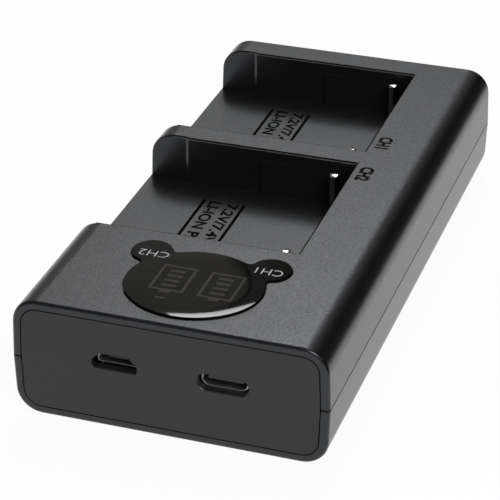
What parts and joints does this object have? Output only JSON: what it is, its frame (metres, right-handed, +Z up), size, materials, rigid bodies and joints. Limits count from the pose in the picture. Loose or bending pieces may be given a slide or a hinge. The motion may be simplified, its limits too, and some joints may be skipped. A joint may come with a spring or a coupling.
{
  "type": "camera battery charger",
  "caption": "Low rectangular black charger for flat camera batteries, with open-sided bays, upright contact pins, a domed display window and USB inlets in the front end.",
  "frame": {"origin": "under the middle of the base, on the surface that the charger rests on", "axes": "+Y from the front panel with the inlets to the rear, +X to the closed right side, +Z up"},
  "size_m": [0.0604, 0.1236, 0.0245],
  "materials": {
    "housing": "satin black moulded plastic with a fine spark-eroded grain",
    "panel": "satin black moulded plastic, smoother than the housing",
    "window": "dark glossy moulding with a domed surface",
    "display_marks": "unlit display segments under the window",
    "window_print": "pale grey printed channel marks",
    "engraving": "shallow laser-darkened marks in the housing",
    "display_glass": "display cell, dark when off",
    "light_guide": "white diffusing light guide",
    "circuit_board": "green solder mask over glass-fibre laminate",
    "black_moulding": "black insulating moulding",
    "contact_metal": "bright nickel plating",
    "inlet_steel": "drawn and plated steel",
    "screw_steel": "blackened steel",
    "can_aluminium": "bare aluminium can",
    "coil_ferrite": "dark grey pressed ferrite",
    "chip_resin": "black moulding resin"
  },
  "bodies": {
    "root": {"board_header": "black_moulding", "bottom_shell": "housing", "case_screws": "screw_steel", "ch1_chip": "chip_resin", "ch1_coil": "coil_ferrite", "ch1_pin_minus": "contact_metal", "ch1_pin_plus": "contact_metal", "ch2_chip": "chip_resin", "ch2_coil": "coil_ferrite", "ch2_pin_minus": "contact_metal", "ch2_pin_plus": "contact_metal", "control_chip": "chip_resin", "display_board": "circuit_board", "display_screws": "screw_steel", "display_window": "window", "front_panel": "panel", "input_capacitors": "can_aluminium", "lcd_backlight": "light_guide", "lcd_panel": "display_glass", "main_board": "circuit_board", "micro_usb_shell": "inlet_steel", "micro_usb_tongue": "black_moulding", "top_shell": "housing", "usb_c_shell": "inlet_steel", "usb_c_tongue": "black_moulding"}
  },
  "joints": []
}
